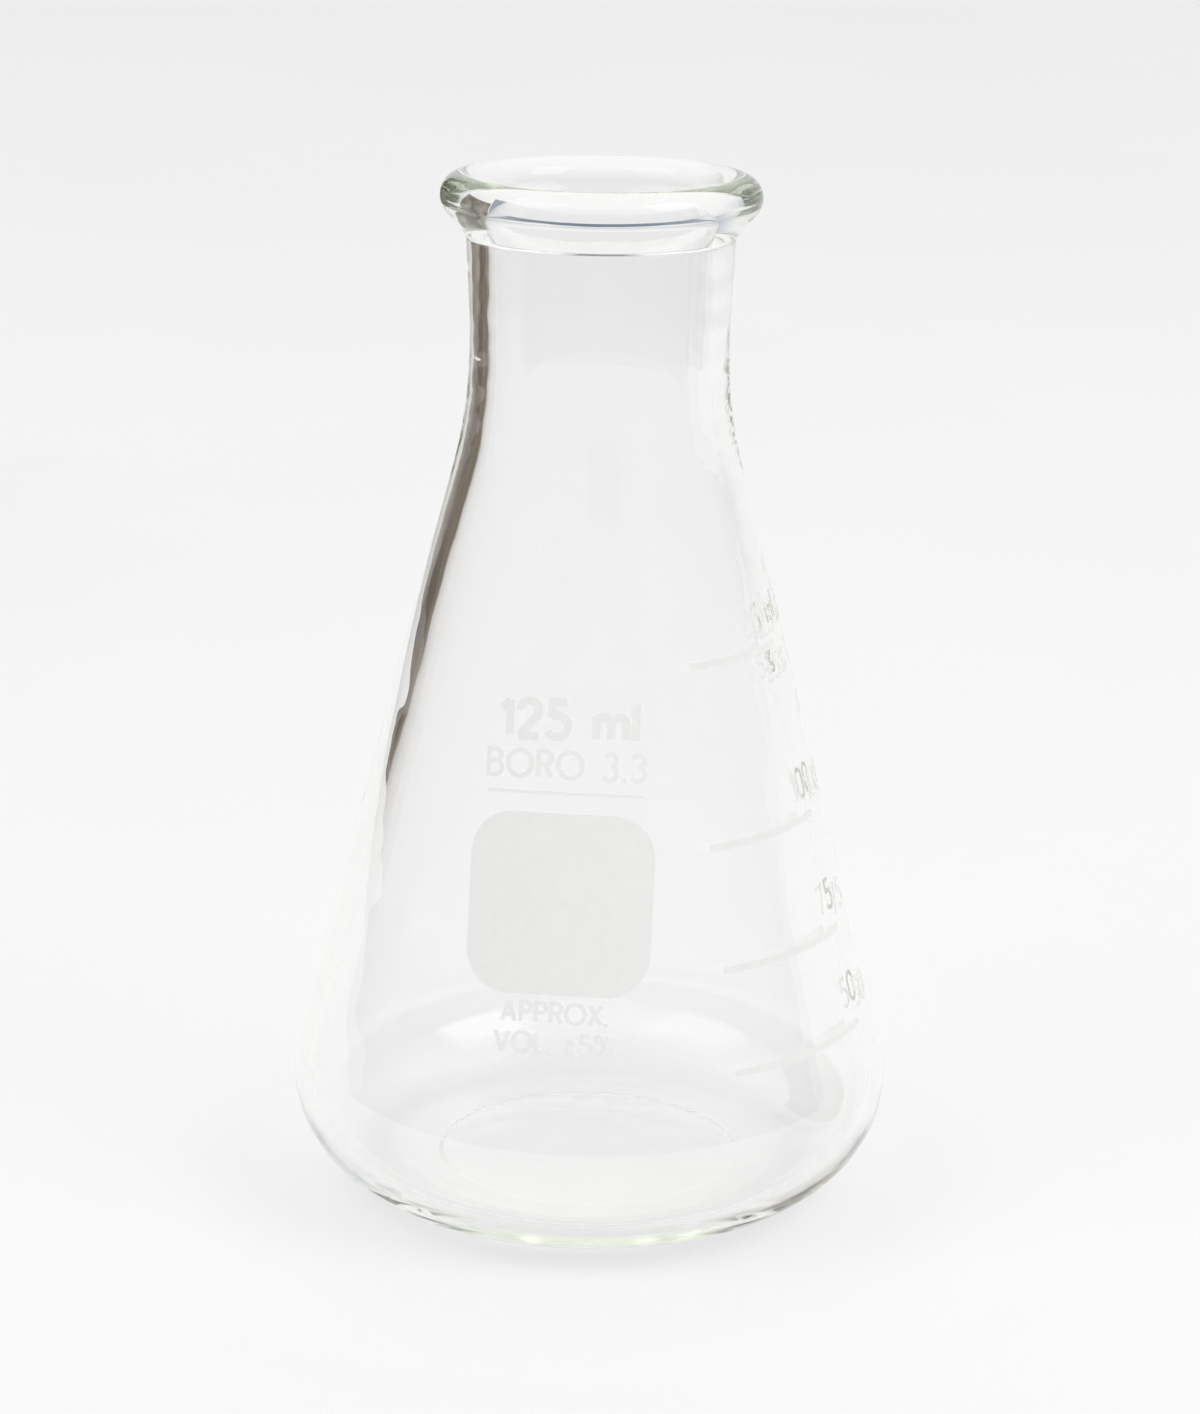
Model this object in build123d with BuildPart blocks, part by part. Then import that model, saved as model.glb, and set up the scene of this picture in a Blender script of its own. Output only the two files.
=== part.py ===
"""Narrow-mouth Erlenmeyer flask, 125 ml, with a heavy-duty beaded rim and fired enamel print.

Frame: millimetres, +Z up, origin at the centre of the circle that the flask stands on.
Azimuths are degrees about +Z, measured from -Y (the middle of the label) towards +X.
"""

import os
from math import cos, radians, sin, tan

from build123d import *

# Glass: driving dimensions
HEIGHT = 114.0
WALL = 2.25  # cone
CONE_ANGLE = 14.7  # half angle of the cone
FOOT_RADIUS = 20.5  # outer edge of the flat ring that it stands on
HEEL_RADIUS = 13.0  # round between the foot and the cone, outside
INNER_HEEL_RADIUS = 10.0
RING_RADIUS = 17.1  # inner edge of that ring
PUNT_RADIUS = 16.6  # dished middle of the base
PUNT_EDGE = 0.15  # height of its edge above the ring
PUNT_DEPTH = 0.9
FLOOR_EDGE = 2.8  # height of the inner floor where it meets the inner heel
FLOOR_CROWN = 3.6  # height of the inner floor on the axis
NECK_RADIUS = 14.05
BORE_RADIUS = 12.0
SHOULDER_RADIUS = 50.0  # concave sweep from the cone into the neck
NECK_STRAIGHT_TOP = 98.0

# Glass: beaded rim, a round lip over a slightly flared mouth
BEAD_ROOT = (14.5, 107.45)  # where the flared neck turns out into the bead
BEAD_BLENDS = (20.0, 1.2)  # neck flare and root
LIP_RADIUS = 2.35
LIP_CENTER = (14.95, HEIGHT - LIP_RADIUS)
LIP_TOE = 38.0  # the lip's round starts this many degrees below its widest point
MOUTH_FLARE = 10.0  # degrees from upright
FLARE_BLEND = 15.0

# Enamel print
ENAMEL = 0.08
PRINT_DEPTH = 3.0  # more than a flat outline falls behind the round of the cone
SPOT_SIZE = (19.6, 19.2)
SPOT_CORNER = 4.5
SPOT_Z = 40.7
RULE_SIZE = (16.5, 0.35)
RULE_Z = 52.0
TICK_WIDTH = 0.8
TICK_ARC = (37.0, 77.5)
TICKS = {125: 64.4, 100: 45.7, 75: 33.0, 50: 22.3}  # ml: height of the line
NUMERALS = {125: 73.5, 100: 84.8, 75: 82.4, 50: 83.2}  # ml: azimuth of the middle
NUMERAL_SIZE = (3.6, 0.5)  # height of the digits and width of their strokes
NUMERAL_RISE = 2.7  # middle of a numeral above its line
MARKS = {  # text, azimuth and height of its middle, height of the letters, width of the strokes
    "capacity_mark": ("125 ml", 0.0, 59.5, 4.6, 0.9),
    "glass_type_mark": ("BORO 3.3", 0.0, 54.9, 3.2, 0.5),
    "note_upper_mark": ("APPROX.", 0.0, 29.6, 2.5, 0.45),
    "note_lower_mark": ("VOL. \u00b15%", 0.0, 26.5, 2.5, 0.45),
    "unit_mark": ("ml", 94.5, 67.1, 3.4, 0.5),
    "tolerance_mark": ("\u00b15%", 77.3, 62.1, 3.0, 0.45),
}

# Letters as the centre lines of their strokes, one unit high on a baseline at zero
LETTER_GAP = 0.26
SPACE = 0.28
GLYPHS = {
    "0": [
        Line((0, 0.71), (0, 0.29)),
        ThreePointArc((0, 0.29), (0.29, 0), (0.58, 0.29)),
        Line((0.58, 0.29), (0.58, 0.71)),
        ThreePointArc((0.58, 0.71), (0.29, 1), (0, 0.71)),
    ],
    "1": [Line((0, 0.76), (0.27, 0.97)), Line((0.27, 1), (0.27, 0))],
    "2": [
        ThreePointArc((0.03, 0.72), (0.3, 1), (0.52, 0.56)),
        Line((0.52, 0.56), (0.03, 0)),
        Line((0, 0), (0.6, 0)),
    ],
    "3": [
        ThreePointArc((0.07, 0.88), (0.47, 0.88), (0.27, 0.53)),
        ThreePointArc((0.27, 0.53), (0.5, 0.13), (0.04, 0.13)),
    ],
    "5": [
        Polyline((0.52, 1), (0.14, 1), (0.08, 0.56)),
        ThreePointArc((0.08, 0.56), (0.58, 0.31), (0, 0.16)),
    ],
    "7": [Polyline((0, 1), (0.55, 1), (0.15, 0))],
    "m": [
        Line((0, 0.64), (0, 0)),
        ThreePointArc((0, 0.42), (0.21, 0.63), (0.42, 0.42)),
        Line((0.42, 0.42), (0.42, 0)),
        ThreePointArc((0.42, 0.42), (0.63, 0.63), (0.84, 0.42)),
        Line((0.84, 0.42), (0.84, 0)),
    ],
    "l": [Line((0, 1.05), (0, 0))],
    "\u00b1": [
        Line((0, 0.52), (0.5, 0.52)),
        Line((0.25, 0.77), (0.25, 0.27)),
        Line((0, 0.03), (0.5, 0.03)),
    ],
    "%": [
        ThreePointArc((0.33, 0.8), (0.17, 0.96), (0.01, 0.8)),
        ThreePointArc((0.01, 0.8), (0.17, 0.64), (0.33, 0.8)),
        Line((0.62, 1), (0.16, 0)),
        ThreePointArc((0.77, 0.2), (0.61, 0.36), (0.45, 0.2)),
        ThreePointArc((0.45, 0.2), (0.61, 0.04), (0.77, 0.2)),
    ],
    ".": [Line((0, -0.08), (0, 0.1))],
    "A": [Line((0, 0), (0.36, 1)), Line((0.36, 1), (0.72, 0)), Line((0.12, 0.32), (0.6, 0.32))],
    "B": [
        Polyline((0.26, 1), (0, 1), (0, 0), (0.28, 0)),
        ThreePointArc((0.26, 1), (0.49, 0.77), (0.26, 0.54)),
        Line((0, 0.54), (0.28, 0.54)),
        ThreePointArc((0.28, 0.54), (0.55, 0.27), (0.28, 0)),
    ],
    "L": [Polyline((0, 1), (0, 0), (0.42, 0))],
    "O": [
        ThreePointArc((0.94, 0.5), (0.47, 1), (0, 0.5)),
        ThreePointArc((0, 0.5), (0.47, 0), (0.94, 0.5)),
    ],
    "P": [
        Polyline((0.28, 1), (0, 1), (0, 0)),
        ThreePointArc((0.28, 1), (0.53, 0.75), (0.28, 0.5)),
        Line((0, 0.5), (0.28, 0.5)),
    ],
    "R": [
        Polyline((0.28, 1), (0, 1), (0, 0)),
        ThreePointArc((0.28, 1), (0.53, 0.75), (0.28, 0.5)),
        Line((0, 0.5), (0.28, 0.5)),
        Line((0.26, 0.5), (0.54, 0)),
    ],
    "V": [Line((0, 1), (0.34, 0)), Line((0.34, 0), (0.68, 1))],
    "X": [Line((0, 0), (0.56, 1)), Line((0, 1), (0.56, 0))],
}

# Worked out from the driving dimensions
SLOPE = radians(CONE_ANGLE)
CONE_FOOT = Vector(FOOT_RADIUS + HEEL_RADIUS * cos(SLOPE), HEEL_RADIUS * (1 + sin(SLOPE)))


def cone_radius(z, depth=0.0):
    """Radius of the cone's outside at a height, or of the surface a depth below it."""
    return CONE_FOOT.X - (z - CONE_FOOT.Y) * tan(SLOPE) - depth / cos(SLOPE)


def cone_height(radius, depth=0.0):
    """Height at which the cone's outside, or a surface below it, has a radius."""
    return CONE_FOOT.Y + (cone_radius(CONE_FOOT.Y, depth) - radius) / tan(SLOPE)


def shoulder_center(neck_radius, sweep_radius, depth):
    """Center of the sweep that leaves the cone surface tangent and enters the neck upright."""
    tangent_radius = neck_radius + sweep_radius * (1 - cos(SLOPE))
    height = cone_height(tangent_radius, depth) + sweep_radius * sin(SLOPE)
    return (neck_radius + sweep_radius, height)


def upright_plane(azimuth):
    """Plane through the axis, with x outwards along an azimuth and y up."""
    turn = radians(azimuth)
    return Plane((0, 0, 0), x_dir=(sin(turn), -cos(turn), 0), z_dir=(-cos(turn), -sin(turn), 0))


def skin_plane(azimuth, z):
    """Plane that touches the outside of the cone, with x to the right and y up the slope."""
    turn = radians(azimuth)
    foot = (cone_radius(z) * sin(turn), -cone_radius(z) * cos(turn), z)
    outwards = (cos(SLOPE) * sin(turn), -cos(SLOPE) * cos(turn), sin(SLOPE))
    return Plane(foot, x_dir=(cos(turn), sin(turn), 0), z_dir=outwards)


def skin_corners(low_z, high_z):
    """Corners of the enamel's section between two heights, on an upright plane."""
    out = Vector(cos(SLOPE), sin(SLOPE)) * ENAMEL
    low = Vector(cone_radius(low_z), low_z)
    high = Vector(cone_radius(high_z), high_z)
    return low, high, high + out, low + out


def strokes(text, size):
    """Centre lines of a line of text, centred on the origin, for letters of a size."""
    placed = []
    pen = 0
    for letter in text:
        glyph = GLYPHS.get(letter, [])
        placed += [(curve, pen) for curve in glyph]
        width = max((curve.bounding_box().max.X for curve in glyph), default=SPACE)
        pen += width + LETTER_GAP
    half = (pen - LETTER_GAP) / 2
    return [Pos((x - half) * size, -size / 2) * curve.scale(size) for curve, x in placed]


CONE_TOP = cone_height(NECK_RADIUS + SHOULDER_RADIUS * (1 - cos(SLOPE)))

os.makedirs("parts", exist_ok=True)

# Glass body: one blown piece, drawn from the dished base up the outside and down the inside
with BuildPart() as glass_flask:
    with BuildSketch(Plane.XZ):
        with BuildLine():
            punt = TangentArc((0, PUNT_DEPTH), (PUNT_RADIUS, PUNT_EDGE), tangent=(1, 0))
            step = Spline(punt @ 1, (RING_RADIUS, 0), tangents=(punt % 1, (1, 0)))
            Line(step @ 1, (FOOT_RADIUS, 0))
            heel = CenterArc((FOOT_RADIUS, HEEL_RADIUS), HEEL_RADIUS, -90, 90 + CONE_ANGLE)
            shoulder = CenterArc(
                shoulder_center(NECK_RADIUS, SHOULDER_RADIUS, 0), SHOULDER_RADIUS, 180, CONE_ANGLE
            )
            Line(heel @ 1, shoulder @ 1)

            lip = CenterArc(LIP_CENTER, LIP_RADIUS, -LIP_TOE, LIP_TOE + 180 - MOUTH_FLARE)
            FilletPolyline(
                shoulder @ 0,
                (NECK_RADIUS, NECK_STRAIGHT_TOP),
                BEAD_ROOT,
                lip @ 0,
                radius=BEAD_BLENDS,
            )
            inner_sweep = SHOULDER_RADIUS + NECK_RADIUS - BORE_RADIUS
            inner_shoulder = CenterArc(
                shoulder_center(BORE_RADIUS, inner_sweep, WALL), inner_sweep, 180, CONE_ANGLE
            )
            mouth = lip @ 1
            bore_top = mouth.Y - (mouth.X - BORE_RADIUS) / tan(radians(MOUTH_FLARE))
            FilletPolyline(mouth, (BORE_RADIUS, bore_top), inner_shoulder @ 0, radius=FLARE_BLEND)

            heel_z = FLOOR_EDGE + INNER_HEEL_RADIUS
            heel_r = cone_radius(heel_z, WALL) - INNER_HEEL_RADIUS / cos(SLOPE)
            rise = heel_z - FLOOR_CROWN
            dome_radius = (heel_r**2 + rise**2 - INNER_HEEL_RADIUS**2) / (2 * (INNER_HEEL_RADIUS - rise))
            reach = Vector(heel_r, rise + dome_radius).normalized() * dome_radius
            dome = TangentArc(
                (0, FLOOR_CROWN), (reach.X, FLOOR_CROWN - dome_radius + reach.Y), tangent=(1, 0)
            )
            heel_end = Vector(heel_r, heel_z) + Vector(cos(SLOPE), sin(SLOPE)) * INNER_HEEL_RADIUS
            inner_heel = TangentArc(dome @ 1, heel_end, tangent=dome % 1)
            Line(inner_heel @ 1, inner_shoulder @ 1)
            Line(dome @ 0, punt @ 0)
        make_face()
    revolve(axis=Axis.Z)
glass_flask.part.label = "glass_flask"
export_step(glass_flask.part, "parts/glass_flask.step")

# Thin skin over the whole cone: each print is the stretch of it inside an outline
with BuildPart() as enamel_skin:
    with BuildSketch(upright_plane(0)):
        Polygon(*skin_corners(CONE_FOOT.Y, CONE_TOP), align=None)
    revolve(axis=Axis.Z)

# Square patch for pencil notes
with BuildPart() as marking_spot:
    with BuildSketch(skin_plane(0, SPOT_Z)):
        RectangleRounded(*SPOT_SIZE, SPOT_CORNER)
    extrude(amount=PRINT_DEPTH, both=True)
    add(enamel_skin.part, mode=Mode.INTERSECT)
marking_spot.part.label = "marking_spot"
export_step(marking_spot.part, "parts/marking_spot.step")

# Thin rule under the glass type
with BuildPart() as label_rule:
    with BuildSketch(skin_plane(0, RULE_Z)):
        Rectangle(*RULE_SIZE)
    extrude(amount=PRINT_DEPTH, both=True)
    add(enamel_skin.part, mode=Mode.INTERSECT)
label_rule.part.label = "label_rule"
export_step(label_rule.part, "parts/label_rule.step")

# Graduation lines, each a level band over part of the round
for volume, tick_z in TICKS.items():
    with BuildPart() as tick:
        with BuildSketch(upright_plane(TICK_ARC[0])):
            Polygon(*skin_corners(tick_z - TICK_WIDTH / 2, tick_z + TICK_WIDTH / 2), align=None)
        revolve(axis=Axis.Z, revolution_arc=TICK_ARC[1] - TICK_ARC[0])
    tick.part.label = f"graduation_line_{volume}"
    export_step(tick.part, f"parts/graduation_line_{volume}.step")

# Lettering: the label's lines, and a numeral above the end of each graduation line
for volume, azimuth in NUMERALS.items():
    numeral_z = TICKS[volume] + NUMERAL_RISE
    MARKS[f"numeral_{volume}"] = (str(volume), azimuth, numeral_z, *NUMERAL_SIZE)

for name, (text, azimuth, mark_z, letter_height, stroke) in MARKS.items():
    with BuildPart() as mark:
        with BuildSketch(skin_plane(azimuth, mark_z)):
            for curve in strokes(text, letter_height - stroke):
                trace(curve, line_width=stroke)
        extrude(amount=PRINT_DEPTH, both=True)
        add(enamel_skin.part, mode=Mode.INTERSECT)
    mark.part.label = name
    export_step(mark.part, f"parts/{name}.step")
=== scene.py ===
"""Looks of the 125 ml Erlenmeyer flask: clear blown glass with a fired white enamel print."""

from math import asin, cos, pi, radians, sin, tan

import bmesh
import bpy
from mathutils import Matrix, Vector


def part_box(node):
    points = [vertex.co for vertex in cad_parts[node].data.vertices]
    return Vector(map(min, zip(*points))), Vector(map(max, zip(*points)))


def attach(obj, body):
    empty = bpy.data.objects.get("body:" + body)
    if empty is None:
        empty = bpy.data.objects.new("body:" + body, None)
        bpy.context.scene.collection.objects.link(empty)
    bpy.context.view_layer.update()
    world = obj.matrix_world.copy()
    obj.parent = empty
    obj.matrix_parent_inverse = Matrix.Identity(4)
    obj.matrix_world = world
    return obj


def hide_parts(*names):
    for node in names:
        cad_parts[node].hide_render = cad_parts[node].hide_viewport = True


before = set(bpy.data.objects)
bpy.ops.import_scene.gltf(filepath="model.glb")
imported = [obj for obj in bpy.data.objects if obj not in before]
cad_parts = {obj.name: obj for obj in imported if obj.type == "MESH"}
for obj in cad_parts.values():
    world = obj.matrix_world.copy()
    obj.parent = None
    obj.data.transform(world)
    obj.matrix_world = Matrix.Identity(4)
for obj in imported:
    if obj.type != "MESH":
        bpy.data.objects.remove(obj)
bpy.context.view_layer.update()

MM = 0.001

# Glass, in millimetres, as (radius, height) on the flask's axis
CONE_ANGLE = radians(14.7)
FOOT_RADIUS = 20.5
HEEL_RADIUS = 13.0
INNER_HEEL_RADIUS = 10.0
WALL = 2.25
PUNT_RADIUS = 16.6
PUNT_DEPTH = 0.9
PUNT_EDGE = 0.15
RING_RADIUS = 17.1
PUNT_BLENDS = (0.5, 0.7)
FOOT_LIFT = 0.06  # the standing ring is not quite flat, and touches along one circle
FOOT_TOUCH = 0.005  # height of that circle's corner before it is rounded
FOOT_BLEND = 20.0
FLOOR_EDGE = 2.8
FLOOR_CROWN = 3.6
NECK_RADIUS = 14.05
BORE_RADIUS = 12.0
SHOULDER_RADIUS = 50.0
NECK_STRAIGHT_TOP = 98.0
BEAD_ROOT = (14.5, 107.45)
BEAD_BLENDS = (20.0, 1.2)
LIP_CENTER = (14.95, 111.65)
LIP_RADIUS = 2.35
LIP_TOE = radians(38)
MOUTH_FLARE = radians(10)
FLARE_BLEND = 15.0
ENAMEL_BITE = 0.02  # glass skin above the enamel's inner face, so that no air lies between them

# Camera
CAMERA_AZIMUTH = radians(7.5)
CAMERA_DISTANCE = 391.6 * MM
CAMERA_HEIGHT = 166.8 * MM
CAMERA_PITCH = radians(15.96)
CAMERA_ROLL = radians(0.808)
SENSOR = 36.0
LENS = 93.4
SHIFT_X = 0.004

# Studio: directions are measured from straight behind the label, positive towards +X
SWEEP_AZIMUTH = radians(-3)
ROOM_AROUND = (
    (0.35, (0.30, 0.31, 0.35)),
    (0.75, (0.52, 0.54, 0.60)),
    (0.97, (0.79, 0.79, 0.80)),
)
ROOM_OVERHEAD = ((0.30, (0.0, 0.0, 0.0)), (0.72, (1.0, 1.0, 1.0)))
OVERHEAD_COLOUR = (1.0, 0.99, 0.975, 1.0)
WORLD_STRENGTH = 1.05
BROWN = ((0.04, 0.034, 0.028), (0.34, 0.285, 0.235))
GREY = ((0.27, 0.29, 0.34), (0.33, 0.35, 0.40))
BLUE = ((0.09, 0.12, 0.18), (0.15, 0.19, 0.26))
BOARDS = (  # name, directions, distance, heights, colours, and whether reflections show it
    ("brown_board", (-74, -24), 0.40, (0.0, 0.30), BROWN, True),
    ("grey_board", (78, 284), 0.26, (0.0, 0.16), GREY, True),
    ("low_blue_rail", (-50, 50), 0.50, (0.224, 0.262), BLUE, False),
    ("high_blue_rail", (-50, 50), 0.50, (0.31, 0.40), BLUE, False),
)
BOARD_MOTTLE = 9.0
SOFTBOXES = (
    {"place": (-0.75, -0.55, 0.95), "size": 0.8, "power": 1.5},
    {"place": (0.85, -0.35, 0.85), "size": 0.7, "power": 2.1},
)
FLOOR_RADIUS = 6.0
BOUNCES = 64

# Slight unevenness of the inner wall, in millimetres: drawn rings in the neck, fading in above
# MARKS_BOTTOM, and a slow wave all over
RING_DEPTH = 0.02
RING_PITCH = 3.9
WAVE_DEPTH = 0.03
WAVE_PITCH = 24.0
MARKS_BOTTOM = 84.0
MARKS_FADE = 12.0
MARKS_MOUTH = 4.0  # the rings fade out over this much below the rim
WAVE_MOUTH = 2.0  # and the wave stops here

# Patterns: scales are cells to the metre, depths are in millimetres
NOISE_RANGE = (0.3, 0.7)  # nearly all of a noise pattern's values lie in here
GLASS_IOR = 1.473
GLASS_TINT = (0.92, 0.97, 0.84, 1.0)
GLASS_TINT_DENSITY = 8.0
GLASS_HAZE_SCALE = 60.0
GLASS_ROUGHNESS = (0.0, 0.012)
GLASS_FLOW_SCALE = 130.0
GLASS_FLOW_DEPTH = 0.05
ENAMEL = {
    "colours": ((0.945, 0.95, 0.915), (0.965, 0.965, 0.94)),
    "mottle": 900.0,
    "roughness": (0.42, 0.6),
    "grain": 6000.0,
    "depth": 0.012,
}
FLOOR = {
    "colours": ((0.923, 0.923, 0.926), (0.933, 0.933, 0.933)),
    "mottle": 6.0,
    "roughness": (0.72, 0.85),
    "grain": 2500.0,
    "depth": 0.02,
}

# Mesh
LONGEST_FACE = 0.75
SEGMENTS = 180
ARC_STEP = radians(2.0)

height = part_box("glass_flask")[1][2] / MM


# Outline of the glass --------------------------------------------------------------------------

def cone_radius(z, depth=0.0):
    """Radius of the cone's outside at a height, or of the surface a depth below it."""
    foot = FOOT_RADIUS + HEEL_RADIUS * (cos(CONE_ANGLE) + tan(CONE_ANGLE) * (1 + sin(CONE_ANGLE)))
    return foot - z * tan(CONE_ANGLE) - depth / cos(CONE_ANGLE)


def cone_height(radius, depth=0.0):
    """Height at which that surface has a radius."""
    return (cone_radius(0, depth) - radius) / tan(CONE_ANGLE)


def rounded(corners, radii):
    """Open outline through the corners, with each inner corner rounded to its radius."""
    outline = [Vector(corners[0])]
    for before, corner, after, radius in zip(corners, corners[1:], corners[2:], radii):
        corner = Vector(corner)
        back = (Vector(before) - corner).normalized()
        ahead = (Vector(after) - corner).normalized()
        turn = pi - back.angle(ahead)
        reach = radius * tan(turn / 2)
        middle = corner + (back + ahead).normalized() * (radius / cos(turn / 2))
        start = corner + back * reach - middle
        side = 1 if back.x * ahead.y - back.y * ahead.x < 0 else -1
        steps = max(2, round(turn / ARC_STEP))
        for step in range(steps + 1):
            outline.append(middle + Matrix.Rotation(side * turn * step / steps, 2) @ start)
    outline.append(Vector(corners[-1]))
    return outline


def crown(top, edge_radius, edge_height, steps=16):
    """Arc from the axis at a height, level there, down or up to its edge."""
    drop = top - edge_height
    radius = (edge_radius**2 + drop**2) / (2 * drop)
    sweep = asin(edge_radius / radius)
    return [
        Vector((radius * sin(sweep * step / steps), top - radius + radius * cos(sweep * step / steps)))
        for step in range(steps + 1)
    ]


def arc(center, radius, start, end):
    """Points on an arc between two directions, given in radians from straight outwards."""
    steps = max(2, round(abs(end - start) / ARC_STEP))
    turns = [start + (end - start) * step / steps for step in range(steps + 1)]
    return [Vector((center[0] + radius * cos(turn), center[1] + radius * sin(turn))) for turn in turns]


def glass_outline():
    """The whole section, from the middle of the base round the outside to the inner floor."""
    foot_middle = (RING_RADIUS + FOOT_RADIUS) / 2
    punt = crown(PUNT_DEPTH, PUNT_RADIUS, PUNT_EDGE)
    lip = arc(LIP_CENTER, LIP_RADIUS, -LIP_TOE, pi - MOUTH_FLARE)
    outside = punt[:-2] + rounded(
        [
            *punt[-2:],
            (RING_RADIUS, FOOT_LIFT),
            (foot_middle, FOOT_TOUCH),
            (cone_radius(FOOT_LIFT), FOOT_LIFT),
            (NECK_RADIUS, cone_height(NECK_RADIUS)),
            (NECK_RADIUS, NECK_STRAIGHT_TOP),
            BEAD_ROOT,
            lip[0],
        ],
        [*PUNT_BLENDS, FOOT_BLEND, HEEL_RADIUS, SHOULDER_RADIUS, *BEAD_BLENDS],
    )
    outside = [Vector((point.x + ENAMEL_BITE * (point.x > 0), point.y)) for point in outside[:-1]]
    mouth_z = lip[-1].y - (lip[-1].x - BORE_RADIUS) / tan(MOUTH_FLARE)
    inside = rounded(
        [
            lip[-1],
            (BORE_RADIUS, mouth_z),
            (BORE_RADIUS, cone_height(BORE_RADIUS, WALL)),
            (cone_radius(FLOOR_EDGE, WALL), FLOOR_EDGE),
        ],
        [FLARE_BLEND, SHOULDER_RADIUS + NECK_RADIUS - BORE_RADIUS],
    )[1:-1]
    heel_z = FLOOR_EDGE + INNER_HEEL_RADIUS
    heel_r = cone_radius(heel_z, WALL) - INNER_HEEL_RADIUS / cos(CONE_ANGLE)
    rise = heel_z - FLOOR_CROWN
    dome_radius = (heel_r**2 + rise**2 - INNER_HEEL_RADIUS**2) / (2 * (INNER_HEEL_RADIUS - rise))
    lean = asin(heel_r / (dome_radius + INNER_HEEL_RADIUS))
    heel = arc((heel_r, heel_z), INNER_HEEL_RADIUS, CONE_ANGLE, -pi / 2 - lean)
    dome = crown(FLOOR_CROWN, heel[-1].x, heel[-1].y)
    return outside + lip + inside + heel + dome[-2::-1]


def spaced(outline, longest):
    """The outline with its long straight runs divided, so that the faces stay well shaped."""
    points = [outline[0]]
    for end in outline[1:]:
        start = points[-1]
        parts = max(1, round((end - start).length / longest))
        points += [start.lerp(end, part / parts) for part in range(1, parts + 1)]
    return points


def draw_marks(z, turn):
    """How far the inner wall stands out at a place: rings left by drawing the neck, and a slow wave."""
    fade_in = min(1.0, max(0.0, (z - MARKS_BOTTOM) / MARKS_FADE))
    fade_out = min(1.0, max(0.0, (height - MARKS_MOUTH - z) / MARKS_MOUTH))
    sway = 1.3 * sin(turn + 0.6)
    rings = RING_DEPTH * sin(2 * pi * z / RING_PITCH + sway) * (0.7 + 0.3 * cos(2 * turn))
    slow = WAVE_DEPTH * sin(2 * pi * z / WAVE_PITCH + 1.7 * sin(turn)) * cos(2 * turn + 0.05 * z)
    return fade_in * fade_out * rings + min(1.0, z / WAVE_PITCH) * slow * (z < height - WAVE_MOUTH)


def turned(name, outline, inner_from):
    """Closed mesh made by turning an outline, which starts and ends on the axis, about Z."""
    mesh = bmesh.new()
    ends = [mesh.verts.new((0, 0, point.y * MM)) for point in (outline[0], outline[-1])]
    rings = []
    for place, point in enumerate(outline[1:-1], start=1):
        ring = []
        for step in range(SEGMENTS):
            turn = 2 * pi * step / SEGMENTS
            radius = point.x + (draw_marks(point.y, turn) if place > inner_from else 0.0)
            across = (radius * MM * cos(turn), radius * MM * sin(turn))
            ring.append(mesh.verts.new((*across, point.y * MM)))
        rings.append(ring)
    for step in range(SEGMENTS):
        following = (step + 1) % SEGMENTS
        mesh.faces.new((ends[0], rings[0][following], rings[0][step]))
        mesh.faces.new((ends[1], rings[-1][step], rings[-1][following]))
        for lower, upper in zip(rings, rings[1:]):
            mesh.faces.new((lower[step], lower[following], upper[following], upper[step]))
    for face in mesh.faces:
        face.smooth = True
    data = bpy.data.meshes.new(name)
    mesh.to_mesh(data)
    mesh.free()
    piece = bpy.data.objects.new(name, data)
    bpy.context.collection.objects.link(piece)
    return piece


# Materials ---------------------------------------------------------------------------------------

def new_material(name):
    """A material with an empty node tree, and its output node."""
    material = bpy.data.materials.new(name)
    material.use_nodes = True
    tree = material.node_tree
    tree.nodes.clear()
    return material, tree, tree.nodes.new("ShaderNodeOutputMaterial")


def noise(tree, scale, detail=2.0):
    """Noise in the object's own coordinates, with cells of about 1 / scale metres."""
    place = tree.nodes.new("ShaderNodeTexCoord")
    node = tree.nodes.new("ShaderNodeTexNoise")
    node.inputs["Scale"].default_value = scale
    node.inputs["Detail"].default_value = detail
    tree.links.new(place.outputs["Object"], node.inputs["Vector"])
    return node.outputs["Fac"]


def ranged(tree, source, low, high):
    """A noise value stretched between two numbers."""
    node = tree.nodes.new("ShaderNodeMapRange")
    node.inputs["From Min"].default_value = NOISE_RANGE[0]
    node.inputs["From Max"].default_value = NOISE_RANGE[1]
    node.inputs["To Min"].default_value = low
    node.inputs["To Max"].default_value = high
    tree.links.new(source, node.inputs["Value"])
    return node.outputs["Result"]


def bumped(tree, source, depth):
    """Surface normal for a height pattern that is this many millimetres deep."""
    node = tree.nodes.new("ShaderNodeBump")
    node.inputs["Strength"].default_value = 1.0
    node.inputs["Distance"].default_value = depth * MM
    tree.links.new(source, node.inputs["Height"])
    return node.outputs["Normal"]


def glass_material():
    """Clear borosilicate glass, faintly green where the light's way through it is long."""
    material, tree, output = new_material("borosilicate_glass")
    surface = tree.nodes.new("ShaderNodeBsdfPrincipled")
    surface.inputs["Base Color"].default_value = (1.0, 1.0, 1.0, 1.0)
    surface.inputs["IOR"].default_value = GLASS_IOR
    surface.inputs["Transmission Weight"].default_value = 1.0
    haze = ranged(tree, noise(tree, GLASS_HAZE_SCALE), *GLASS_ROUGHNESS)
    tree.links.new(haze, surface.inputs["Roughness"])
    flow = bumped(tree, noise(tree, GLASS_FLOW_SCALE, 1.0), GLASS_FLOW_DEPTH)
    tree.links.new(flow, surface.inputs["Normal"])
    tree.links.new(surface.outputs["BSDF"], output.inputs["Surface"])
    tint = tree.nodes.new("ShaderNodeVolumeAbsorption")
    tint.inputs["Color"].default_value = GLASS_TINT
    tint.inputs["Density"].default_value = GLASS_TINT_DENSITY
    tree.links.new(tint.outputs["Volume"], output.inputs["Volume"])
    return material


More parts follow.
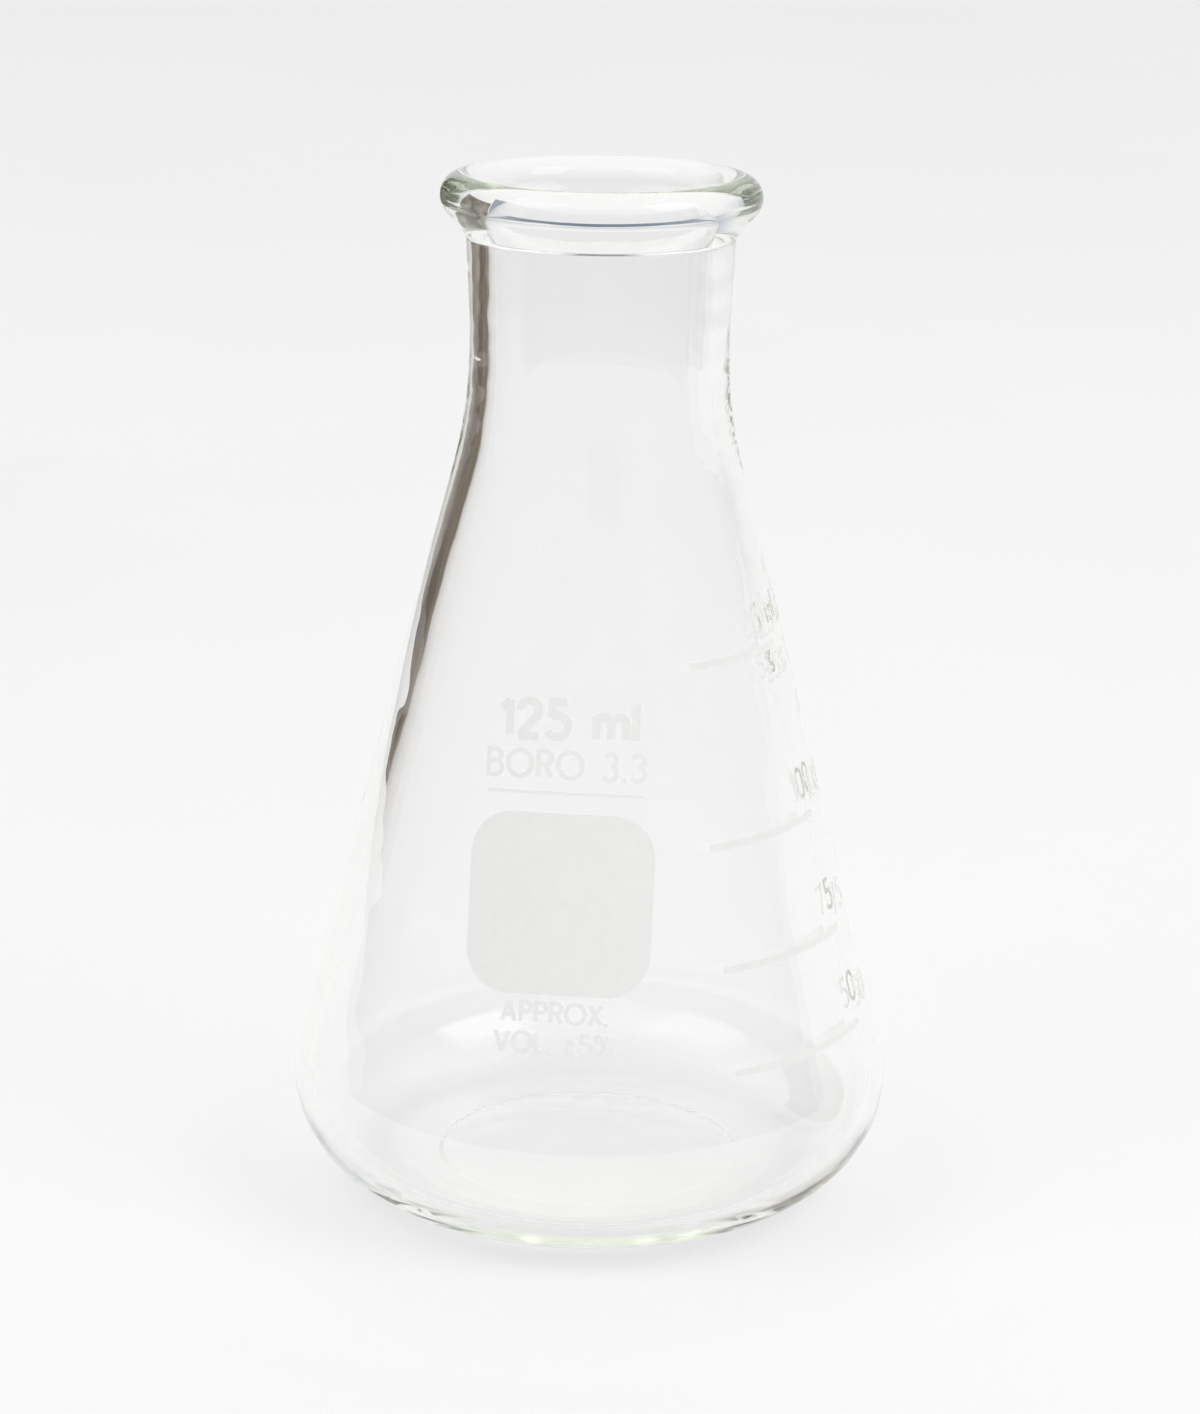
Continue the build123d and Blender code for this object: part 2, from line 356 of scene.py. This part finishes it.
def grained_material(name, colours, mottle, roughness, grain, depth):
    """Opaque material: mottled between two colours, and finely grained."""
    material, tree, output = new_material(name)
    surface = tree.nodes.new("ShaderNodeBsdfPrincipled")
    patches = noise(tree, mottle, 4.0)
    colour = ramp(tree, patches, tuple(zip(NOISE_RANGE, colours)))
    tree.links.new(colour, surface.inputs["Base Color"])
    tree.links.new(ranged(tree, patches, *roughness), surface.inputs["Roughness"])
    tree.links.new(bumped(tree, noise(tree, grain), depth), surface.inputs["Normal"])
    tree.links.new(surface.outputs["BSDF"], output.inputs["Surface"])
    return material


def board_material(name, colours, in_reflections):
    """Board outside the picture, which shows only in reflections or only straight through glass."""
    material, tree, output = new_material(name)
    board = tree.nodes.new("ShaderNodeEmission")
    mottled = ramp(tree, noise(tree, BOARD_MOTTLE), tuple(zip(NOISE_RANGE, colours)))
    tree.links.new(mottled, board.inputs["Color"])
    clear = tree.nodes.new("ShaderNodeBsdfTransparent")
    path = tree.nodes.new("ShaderNodeLightPath")
    shown = tree.nodes.new("ShaderNodeMath")
    shown.operation = "GREATER_THAN" if in_reflections else "LESS_THAN"
    shown.inputs[1].default_value = 0.5
    tree.links.new(path.outputs["Glossy Depth"], shown.inputs[0])
    choose = tree.nodes.new("ShaderNodeMixShader")
    tree.links.new(shown.outputs["Value"], choose.inputs["Fac"])
    tree.links.new(clear.outputs["BSDF"], choose.inputs[1])
    tree.links.new(board.outputs["Emission"], choose.inputs[2])
    tree.links.new(choose.outputs["Shader"], output.inputs["Surface"])
    return material


def curved_board(name, turns, distance, heights):
    """Upright board round part of the set, between two directions, seen only in the glass."""
    steps = max(2, round(abs(turns[1] - turns[0]) / radians(6)))
    corners = []
    for step in range(steps + 1):
        turn = turns[0] + (turns[1] - turns[0]) * step / steps
        corners += [(distance * sin(turn), distance * cos(turn), level) for level in heights]
    faces = [(2 * step, 2 * step + 2, 2 * step + 3, 2 * step + 1) for step in range(steps)]
    data = bpy.data.meshes.new(name)
    data.from_pydata(corners, [], faces)
    board = bpy.data.objects.new(name, data)
    bpy.context.collection.objects.link(board)
    board.visible_camera = False
    board.visible_diffuse = False
    board.visible_shadow = False
    return board


def ramp(tree, source, stops):
    """Colour ramp over a socket, from (place, colour) stops."""
    node = tree.nodes.new("ShaderNodeValToRGB")
    node.color_ramp.interpolation = "EASE"
    elements = node.color_ramp.elements
    while len(elements) < len(stops):
        elements.new(0.5)
    for element, (place, colour) in zip(elements, stops):
        element.position = place
        element.color = (*colour, 1.0)
    tree.links.new(source, node.inputs["Fac"])
    return node.outputs["Color"]


def studio_world():
    """Pale sweep behind the flask, brighter overhead, and a dimmer, bluish room on the other sides."""
    world = bpy.data.worlds.new("studio")
    world.use_nodes = True
    tree = world.node_tree
    direction = tree.nodes.new("ShaderNodeTexCoord").outputs["Generated"]
    height_part = tree.nodes.new("ShaderNodeSeparateXYZ")
    tree.links.new(direction, height_part.inputs["Vector"])
    rise = height_part.outputs["Z"]
    toward = tree.nodes.new("ShaderNodeVectorMath")
    toward.operation = "DOT_PRODUCT"
    toward.inputs[1].default_value = (sin(SWEEP_AZIMUTH) / 2, cos(SWEEP_AZIMUTH) / 2, 0.0)
    tree.links.new(direction, toward.inputs[0])
    half_turn = tree.nodes.new("ShaderNodeMath")
    half_turn.operation = "ADD"
    half_turn.inputs[1].default_value = 0.5
    tree.links.new(toward.outputs["Value"], half_turn.inputs[0])
    around = ramp(tree, half_turn.outputs["Value"], ROOM_AROUND)
    overhead = ramp(tree, rise, ROOM_OVERHEAD)
    colour = tree.nodes.new("ShaderNodeMix")
    colour.data_type = "RGBA"
    tree.links.new(overhead, colour.inputs["Factor"])
    tree.links.new(around, colour.inputs["A"])
    colour.inputs["B"].default_value = OVERHEAD_COLOUR
    tree.links.new(colour.outputs["Result"], tree.nodes["Background"].inputs["Color"])
    tree.nodes["Background"].inputs["Strength"].default_value = WORLD_STRENGTH
    return world


def softbox(place, size, power):
    """Large square light that faces the middle of the flask."""
    light = bpy.data.lights.new("softbox", "AREA")
    light.size = size
    light.energy = power
    lamp = bpy.data.objects.new("softbox", light)
    bpy.context.collection.objects.link(lamp)
    lamp.location = place
    aim = Vector(place) - Vector((0, 0, height * MM / 2))
    lamp.rotation_euler = aim.to_track_quat("Z", "Y").to_euler()
    return lamp


# The object ---------------------------------------------------------------------------------------

outline = spaced(glass_outline(), LONGEST_FACE)
crest = max(range(len(outline)), key=lambda place: outline[place].y)
glass = turned("blown_glass", outline, crest)
glass.data.materials.append(glass_material())
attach(glass, "root")
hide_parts("glass_flask")

enamel = grained_material("white_enamel", **ENAMEL)
for name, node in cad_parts.items():
    if name != "glass_flask":
        node.data.materials.clear()
        node.data.materials.append(enamel)

# The stage ----------------------------------------------------------------------------------------

bpy.ops.mesh.primitive_circle_add(vertices=96, radius=FLOOR_RADIUS, fill_type="NGON")
floor = bpy.context.object
floor.name = "floor"
floor.data.materials.append(grained_material("white_board", **FLOOR))

scene = bpy.context.scene
scene.world = studio_world()

for name, turns, distance, heights, colours, in_reflections in BOARDS:
    board = curved_board(name, [radians(turn) for turn in turns], distance, heights)
    board.data.materials.append(board_material(name, colours, in_reflections))

for lamp in SOFTBOXES:
    softbox(**lamp)

camera_data = bpy.data.cameras.new("camera")
camera_data.lens = LENS
camera_data.sensor_width = SENSOR
camera_data.shift_x = SHIFT_X
camera = bpy.data.objects.new("camera", camera_data)
bpy.context.collection.objects.link(camera)
camera.location = (
    CAMERA_DISTANCE * sin(CAMERA_AZIMUTH),
    -CAMERA_DISTANCE * cos(CAMERA_AZIMUTH),
    CAMERA_HEIGHT,
)
camera.rotation_euler = (
    Matrix.Rotation(CAMERA_AZIMUTH, 3, "Z")
    @ Matrix.Rotation(pi / 2 - CAMERA_PITCH, 3, "X")
    @ Matrix.Rotation(CAMERA_ROLL, 3, "Z")
).to_euler()
scene.camera = camera

scene.view_settings.view_transform = "Standard"
scene.cycles.max_bounces = BOUNCES
scene.cycles.transmission_bounces = BOUNCES
scene.cycles.glossy_bounces = BOUNCES
scene.cycles.blur_glossy = 0.0
scene.cycles.sample_clamp_indirect = 0.0
